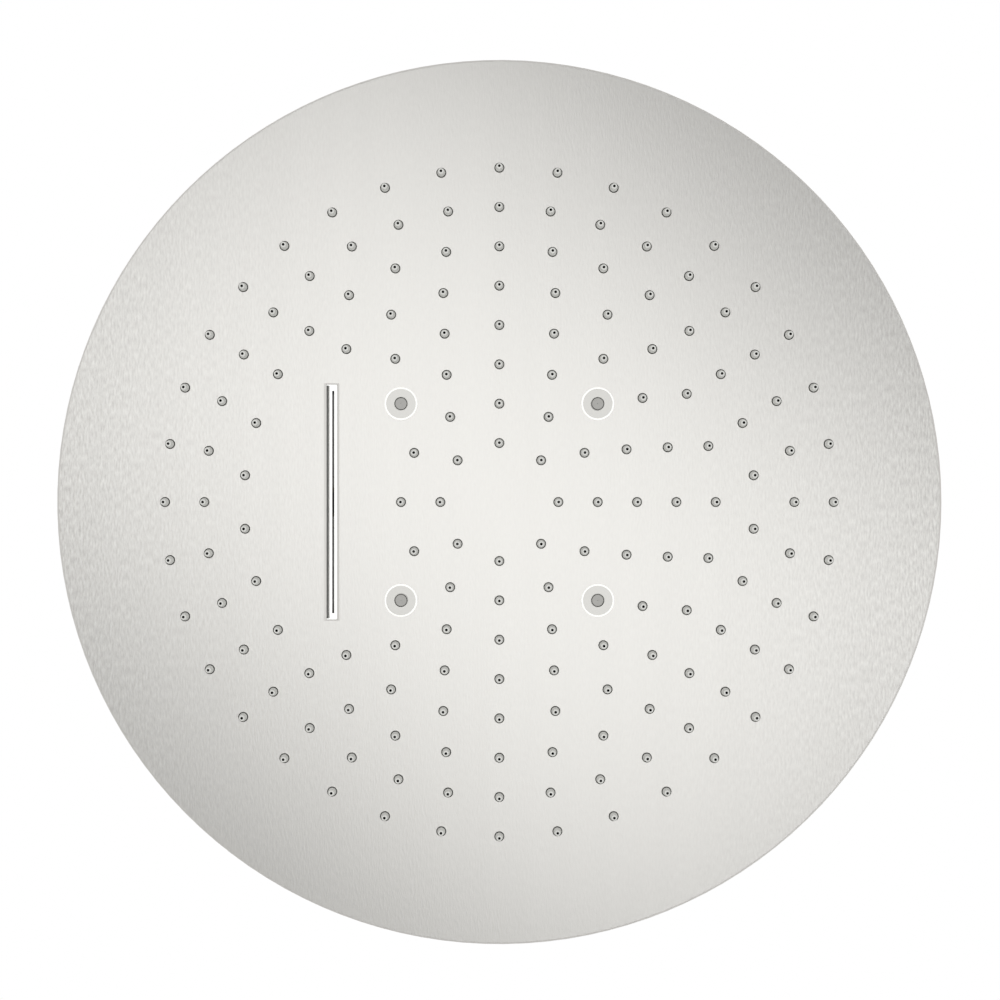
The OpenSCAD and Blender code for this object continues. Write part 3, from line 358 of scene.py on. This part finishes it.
# Painted highlight and painted shade: the crests are painted light and the roots dark.
stud_tint = add(thread_steel, "Mix", {
    0: ridges.outputs[0], 6: srgb("#8F8E8A"), 7: srgb("#D0CFCB")}, data_type="RGBA")
stud_bump = add(thread_steel, "Bump", {"Height": ridges.outputs[0], "Strength": 1, "Distance": 1.5e-4})
stud_surface = add(thread_steel, "BsdfPrincipled", {
    "Base Color": stud_tint.outputs[2], "Metallic": 1, "Roughness": 0.3, "Normal": stud_bump.outputs[0]})
add(thread_steel, "OutputMaterial", {"Surface": stud_surface.outputs[0]})
finish_nodes(thread_steel, "rim_studs", "waterfall_studs", "tee_studs", "stay_studs")

# Brass fittings: the pipe blocks, tube nuts, olives, lock nuts and inlets, turned and forged, and screwed
# together with the tubes.
# Brass, turned: warm yellow with a soft shine, browner in patches of 7 mm where hands and air reached it.
brass = new_material("brass_turned")
tarnish_per_metre = 140
chamber_top = 0.0205
brass_place = add(brass, "TexCoord").outputs["Object"]
tarnish = add(brass, "TexNoise", {
    "Vector": brass_place, "Scale": tarnish_per_metre, "Detail": 4, "Roughness": 0.6})
dry_tint = add(brass, "Mix", {
    0: tarnish.outputs[0], 6: srgb("#BE9C5C"), 7: srgb("#DCC288")}, data_type="RGBA")
# The nipples' heads, which stand in the water chambers, are grey with scale.
brass_height = add(brass, "SeparateXYZ", {0: brass_place}).outputs["Z"]
in_water = add(brass, "Math", {0: brass_height, 1: chamber_top}, operation="LESS_THAN")
brass_tint = add(brass, "Mix", {
    0: in_water.outputs[0], 6: dry_tint.outputs[2], 7: srgb("#D8D7D2")}, data_type="RGBA")
brass_rough = add(brass, "MapRange", {"Value": tarnish.outputs[0], "To Min": 0.38, "To Max": 0.2})
brass_surface = add(brass, "BsdfPrincipled", {
    "Base Color": brass_tint.outputs[2], "Metallic": 1, "Roughness": brass_rough.outputs[0]})
add(brass, "OutputMaterial", {"Surface": brass_surface.outputs[0]})
finish_nodes(
    brass, "mist_block_1", "mist_block_2", "mist_block_3", "mist_block_4", "mist_tube_nuts", "mist_olives",
    "waterfall_lock_nut", "rain_lock_nut", "rain_inlet", "waterfall_inlet", "mist_inlet_tee")

# Inlets: a brass nipple through the pan for the rain and one for the waterfall, and the tee that feeds the
# mist. Each ends in a G 1/2 pipe thread, cut on the lathe, which the CAD holds as a plain cylinder over the
# crests.
thread_pitch = 0.001814
thread_crest = 0.01048
thread_root = 0.00932
# One turn of the thread: each corner's share of the pitch, and its radius.
thread_turn = ((0, thread_crest), (0.14, thread_crest), (0.47, thread_root), (0.67, thread_root))
thread_from = 0.04
thread_top = 0.055
thread_steps = 72
end_radius = 0.0092
end_slope = 1.1
bore_radius = 0.0075
bore_lead = 0.0004
bore_steps = 64
cut_height = 0.0395
outer_side = (0.0085, 0.012)
bore_side = (0.007, 0.0085)
same_height = 1e-5
same_point = 1e-6
same_thread_point = 2e-6
same_plane = 1e-7
crease = math.radians(32)


def open_loop(mesh, axis, z, near, far):
    """Open edges at one height whose distance from the axis lies between near and far."""
    found = []
    for edge in mesh.edges:
        if len(edge.link_faces) > 1:
            continue
        middle = (edge.verts[0].co + edge.verts[1].co) / 2
        if abs(middle.z - z) < same_height and near < (middle.xy - axis).length < far:
            found.append(edge)
    return found


def cut_off(mesh, height, side):
    """Cuts a mesh level at one height and drops what lies above, or below where side is -1."""
    everything = mesh.verts[:] + mesh.edges[:] + mesh.faces[:]
    bmesh.ops.bisect_plane(
        mesh, geom=everything, dist=same_plane, plane_co=(0, 0, height), plane_no=(0, 0, side),
        clear_outer=True)


def solid_piece(mesh, name, material):
    """Object made from a closed mesh, smooth but for its creases."""
    bmesh.ops.recalc_face_normals(mesh, faces=mesh.faces)
    data = bpy.data.meshes.new(name)
    mesh.to_mesh(data)
    mesh.free()
    data.shade_smooth()
    data.set_sharp_from_angle(angle=crease)
    data.materials.append(material)
    piece = bpy.data.objects.new(name, data)
    bpy.context.scene.collection.objects.link(piece)
    return piece


def turned_thread(x, y):
    """Mesh of the thread's helical surface, open at both ends, which slope in to the end radius."""
    axis = Vector((x, y))
    thread = bmesh.new()
    profile = []
    z = thread_from - thread_pitch * 1.5
    while z < thread_top + thread_pitch:
        for share, radius in thread_turn:
            profile.append(thread.verts.new((x + radius, y, z + share * thread_pitch)))
        z += thread_pitch
    edges = [thread.edges.new(pair) for pair in zip(profile, profile[1:])]
    bmesh.ops.spin(
        thread, geom=profile + edges, cent=(x, y, 0), axis=(0, 0, 1), angle=2 * math.pi,
        dvec=(0, 0, thread_pitch / thread_steps), steps=thread_steps, use_merge=False)
    bmesh.ops.remove_doubles(thread, verts=thread.verts, dist=same_point)
    cut_off(thread, thread_from, -1)
    cut_off(thread, thread_top, 1)
    for vert in thread.verts:
        away = vert.co.xy - axis
        most = end_radius + end_slope * min(thread_top - vert.co.z, vert.co.z - thread_from)
        if away.length > most:
            vert.co.xy = axis + away * most / away.length
    bmesh.ops.remove_doubles(thread, verts=thread.verts, dist=same_thread_point)
    data = bpy.data.meshes.new("thread")
    thread.to_mesh(data)
    thread.free()
    return data


def threaded_fitting(name, x, y):
    """Copy of a fitting with its plain end cut off and a threaded one turned in its place."""
    axis = Vector((x, y))
    mesh = bmesh.new()
    mesh.from_mesh(nodes[name].data)
    bmesh.ops.remove_doubles(mesh, verts=mesh.verts, dist=same_point)
    cut_off(mesh, cut_height, 1)
    thread = turned_thread(x, y)
    mesh.from_mesh(thread)
    bpy.data.meshes.remove(thread)
    for radius, height in ((bore_radius + bore_lead, thread_top), (bore_radius, thread_top - bore_lead)):
        bmesh.ops.create_circle(
            mesh, segments=bore_steps, radius=radius, matrix=Matrix.Translation((x, y, height)))
    outer_cut = open_loop(mesh, axis, cut_height, *outer_side)
    thread_foot = open_loop(mesh, axis, thread_from, *outer_side)
    thread_end = open_loop(mesh, axis, thread_top, *outer_side)
    lead_edge = open_loop(mesh, axis, thread_top, *bore_side)
    bore_edge = open_loop(mesh, axis, thread_top - bore_lead, *bore_side)
    inner_cut = open_loop(mesh, axis, cut_height, *bore_side)
    bmesh.ops.triangle_fill(mesh, use_beauty=True, edges=thread_end + lead_edge)
    for one, other in ((outer_cut, thread_foot), (lead_edge, bore_edge), (bore_edge, inner_cut)):
        bmesh.ops.bridge_loops(mesh, edges=one + other)
    piece = solid_piece(mesh, name + "_threaded", brass)
    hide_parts(name)
    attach(piece, "root")


threaded_fitting("rain_inlet", 0, 0)
threaded_fitting("waterfall_inlet", slot_x, 0)
threaded_fitting("mist_inlet_tee", mist_offset, 0)

# Flow discs: one in the mouth of each inlet, pushed into the bore by its rim. Each is moulded in the grey
# acetal of the inserts, with 19 small holes in its middle that even out the water and hold back grit.
disc_height = 0.0505
disc_thickness = 0.0012
disc_rim_top = 0.0529
disc_radius = 0.00748
disc_rim_inside = 0.0066
sieve_radius = 0.0043
sieve_hole = 0.0005
sieve_hole_steps = 16
sieve_pitch = 0.0017
sieve_rows_aside = 2


def flow_disc(name, x):
    """Rimmed disc in an inlet's bore, spun round the bore's axis, with round holes in its middle."""
    mesh = bmesh.new()
    disc_top = disc_height + disc_thickness
    corners = (
        (sieve_radius, disc_height), (disc_radius, disc_height), (disc_radius, disc_rim_top),
        (disc_rim_inside, disc_rim_top), (disc_rim_inside, disc_top), (sieve_radius, disc_top))
    profile = [mesh.verts.new((x + radius, 0, z)) for radius, z in corners]
    edges = [mesh.edges.new(pair) for pair in zip(profile, profile[1:])]
    bmesh.ops.spin(
        mesh, geom=profile + edges, cent=(x, 0, 0), axis=(0, 0, 1), angle=2 * math.pi, steps=bore_steps,
        use_merge=True)
    for row in range(-sieve_rows_aside, sieve_rows_aside + 1):
        holes = 2 * sieve_rows_aside + 1 - abs(row)
        across = row * sieve_pitch * math.sqrt(3) / 2
        for hole in range(holes):
            along = (hole - (holes - 1) / 2) * sieve_pitch
            circle = bmesh.ops.create_circle(
                mesh, segments=sieve_hole_steps, radius=sieve_hole,
                matrix=Matrix.Translation((x + along, across, disc_height)))
            rim = list(dict.fromkeys(edge for vert in circle["verts"] for edge in vert.link_edges))
            wall = bmesh.ops.extrude_edge_only(mesh, edges=rim)
            raised = [part for part in wall["geom"] if isinstance(part, bmesh.types.BMVert)]
            bmesh.ops.translate(mesh, verts=raised, vec=(0, 0, disc_thickness))
    for height in (disc_height, disc_top):
        open_edges = open_loop(mesh, Vector((x, 0)), height, 0, disc_radius)
        bmesh.ops.triangle_fill(mesh, use_beauty=True, edges=open_edges)
    piece = solid_piece(mesh, name, grey_plastic)
    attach(piece, "root")


flow_disc("rain_flow_disc", 0)
flow_disc("waterfall_flow_disc", slot_x)
flow_disc("mist_flow_disc", mist_offset)

# Tubes: four straight lengths of stainless steel tube that join the mist blocks and the tee, each held by an
# olive and a nut at either end.
# Stainless steel 304, drawn: smooth and bright, with a tint that changes a little over 11 mm.
drawn_steel = new_material("stainless_steel_drawn")
tube_patches_per_metre = 90
tube_place = add(drawn_steel, "TexCoord").outputs["Object"]
tube_patch = add(drawn_steel, "TexNoise", {
    "Vector": tube_place, "Scale": tube_patches_per_metre, "Detail": 3})
tube_tint = add(drawn_steel, "Mix", {
    0: tube_patch.outputs[0], 6: srgb("#CFCECA"), 7: srgb("#E2E1DD")}, data_type="RGBA")
tube_surface = add(drawn_steel, "BsdfPrincipled", {
    "Base Color": tube_tint.outputs[2], "Metallic": 1, "Roughness": 0.18})
add(drawn_steel, "OutputMaterial", {"Surface": tube_surface.outputs[0]})
finish_nodes(drawn_steel, "mist_tube_1", "mist_tube_2", "mist_tube_3", "mist_tube_4")

# Hanger brackets: four pieces of 2.5 mm sheet, laser cut and bent, that hang the head from the ceiling.
# Stainless steel 304, hot rolled and pickled: dull grey, cloudy over 22 mm, with a fine matt grain. The
# grain of some 0.1 mm is drawn at 0.8 mm, because a finer one doesn't show.
bracket_steel = new_material("stainless_steel_bent_sheet")
pickles_per_metre = 1200
mill_clouds_per_metre = 45
bracket_place = add(bracket_steel, "TexCoord").outputs["Object"]
pickle = add(bracket_steel, "TexNoise", {"Vector": bracket_place, "Scale": pickles_per_metre, "Detail": 2})
mill = add(bracket_steel, "TexNoise", {"Vector": bracket_place, "Scale": mill_clouds_per_metre, "Detail": 3})
bracket_tint = add(bracket_steel, "Mix", {
    0: mill.outputs[0], 6: srgb("#AFAEAB"), 7: srgb("#C6C5C2")}, data_type="RGBA")
bracket_bump = add(bracket_steel, "Bump", {"Height": pickle.outputs[0], "Strength": 0.5, "Distance": 1e-5})
bracket_surface = add(bracket_steel, "BsdfPrincipled", {
    "Base Color": bracket_tint.outputs[2], "Metallic": 1, "Roughness": 0.4,
    "Normal": bracket_bump.outputs[0]})
add(bracket_steel, "OutputMaterial", {"Surface": bracket_surface.outputs[0]})
finish_nodes(
    bracket_steel, "hanger_bracket_1", "hanger_bracket_2", "hanger_bracket_3", "hanger_bracket_4")

# Ceiling seal: a ring of rubber foam, die cut and glued to the back of the rim, which closes the gap to the
# ceiling.
# EPDM foam, die cut: charcoal and dry, pitted with cut cells of 0.7 mm, painted darker in their middles as
# painted shade.
foam = new_material("epdm_foam_cut")
cells_per_metre = 1400
foam_place = add(foam, "TexCoord").outputs["Object"]
cells = add(foam, "TexVoronoi", {"Vector": foam_place, "Scale": cells_per_metre})
# Painted shade: each cell is painted darker toward its middle, where the pit is deepest.
foam_tint = add(foam, "Mix", {0: cells.outputs[0], 6: srgb("#2B2C2E"), 7: srgb("#4B4C4F")}, data_type="RGBA")
foam_bump = add(foam, "Bump", {"Height": cells.outputs[0], "Strength": 0.8, "Distance": 2e-4})
foam_surface = add(foam, "BsdfPrincipled", {
    "Base Color": foam_tint.outputs[2], "Roughness": 0.95, "IOR": 1.5, "Normal": foam_bump.outputs[0]})
add(foam, "OutputMaterial", {"Surface": foam_surface.outputs[0]})
finish_nodes(foam, "ceiling_seal")

# Studio: a pale floor far below, one large soft light behind the camera that the steel mirrors, a grey card
# round that light, so that the steel darkens to its rim as in the photograph, and two soft lights above for
# the other sides. The backdrop is white where the camera or a mirror sees it, and lights the head a bit less.
floor_height = -1.25
floor_radius = 30
card_height = -1.0
card_radius = 1.5
stage_steps = 96
face_light_height = -0.9
face_light_turn = math.radians(43)
top_light_watts = 4.5
top_light_aim = (0, 0, 0.02)
room_light = 0.8


def stage_disc(name, radius, height, colour):
    """Level matt disc that is part of the studio."""
    mesh = bmesh.new()
    bmesh.ops.create_circle(
        mesh, cap_ends=True, segments=stage_steps, radius=radius, matrix=Matrix.Translation((0, 0, height)))
    data = bpy.data.meshes.new(name)
    mesh.to_mesh(data)
    mesh.free()
    piece = bpy.data.objects.new(name, data)
    bpy.context.scene.collection.objects.link(piece)
    paint = new_material(name)
    matt = add(paint, "BsdfDiffuse", {"Color": srgb(colour)})
    add(paint, "OutputMaterial", {"Surface": matt.outputs[0]})
    data.materials.append(paint)
    return piece


def soft_light(name, width, length, watts, location, target):
    """Rectangular light, hidden from the camera, that faces a point."""
    lamp = bpy.data.lights.new(name, "AREA")
    lamp.shape = "RECTANGLE"
    lamp.size = width
    lamp.size_y = length
    lamp.energy = watts
    piece = bpy.data.objects.new(name, lamp)
    bpy.context.scene.collection.objects.link(piece)
    piece.location = location
    piece.rotation_euler = (Vector(target) - Vector(location)).to_track_quat("-Z", "Y").to_euler()
    piece.visible_camera = False
    return piece


stage_disc("floor", floor_radius, floor_height, "#E8E8E8")
card = stage_disc("grey_card", card_radius, card_height, "#8A8A8A")
card.visible_camera = False
card.visible_diffuse = False
card.visible_shadow = False
card.visible_transmission = False
face_light = soft_light("face_light", 1.27, 0.85, 3.58, (0, 0, face_light_height), (0, 0, 0))
facing_up = Matrix.Rotation(math.pi, 4, "X")
face_light.rotation_euler = (Matrix.Rotation(face_light_turn, 4, "Z") @ facing_up).to_euler()
soft_light("left_top_light", 1.4, 1.4, top_light_watts, (-1.3, 1.2, 1.5), top_light_aim)
soft_light("right_top_light", 1.2, 1.2, top_light_watts, (1.5, -1.0, 1.2), top_light_aim)

world = bpy.data.worlds.new("studio")
bpy.context.scene.world = world
world.use_nodes = True
world.node_tree.nodes.clear()
ray = add(world, "LightPath")
seen = add(world, "Math", {
    0: ray.outputs["Is Camera Ray"], 1: ray.outputs["Is Glossy Ray"]}, operation="MAXIMUM")
shown = add(world, "Math", {0: seen.outputs[0], 1: ray.outputs["Is Transmission Ray"]}, operation="MAXIMUM")
strength = add(world, "MapRange", {"Value": shown.outputs[0], "To Min": room_light, "To Max": 1})
backdrop = add(world, "Background", {"Color": (1, 1, 1, 1), "Strength": strength.outputs[0]})
add(world, "OutputWorld", {"Surface": backdrop.outputs[0]})
bpy.context.scene.view_settings.view_transform = "Standard"
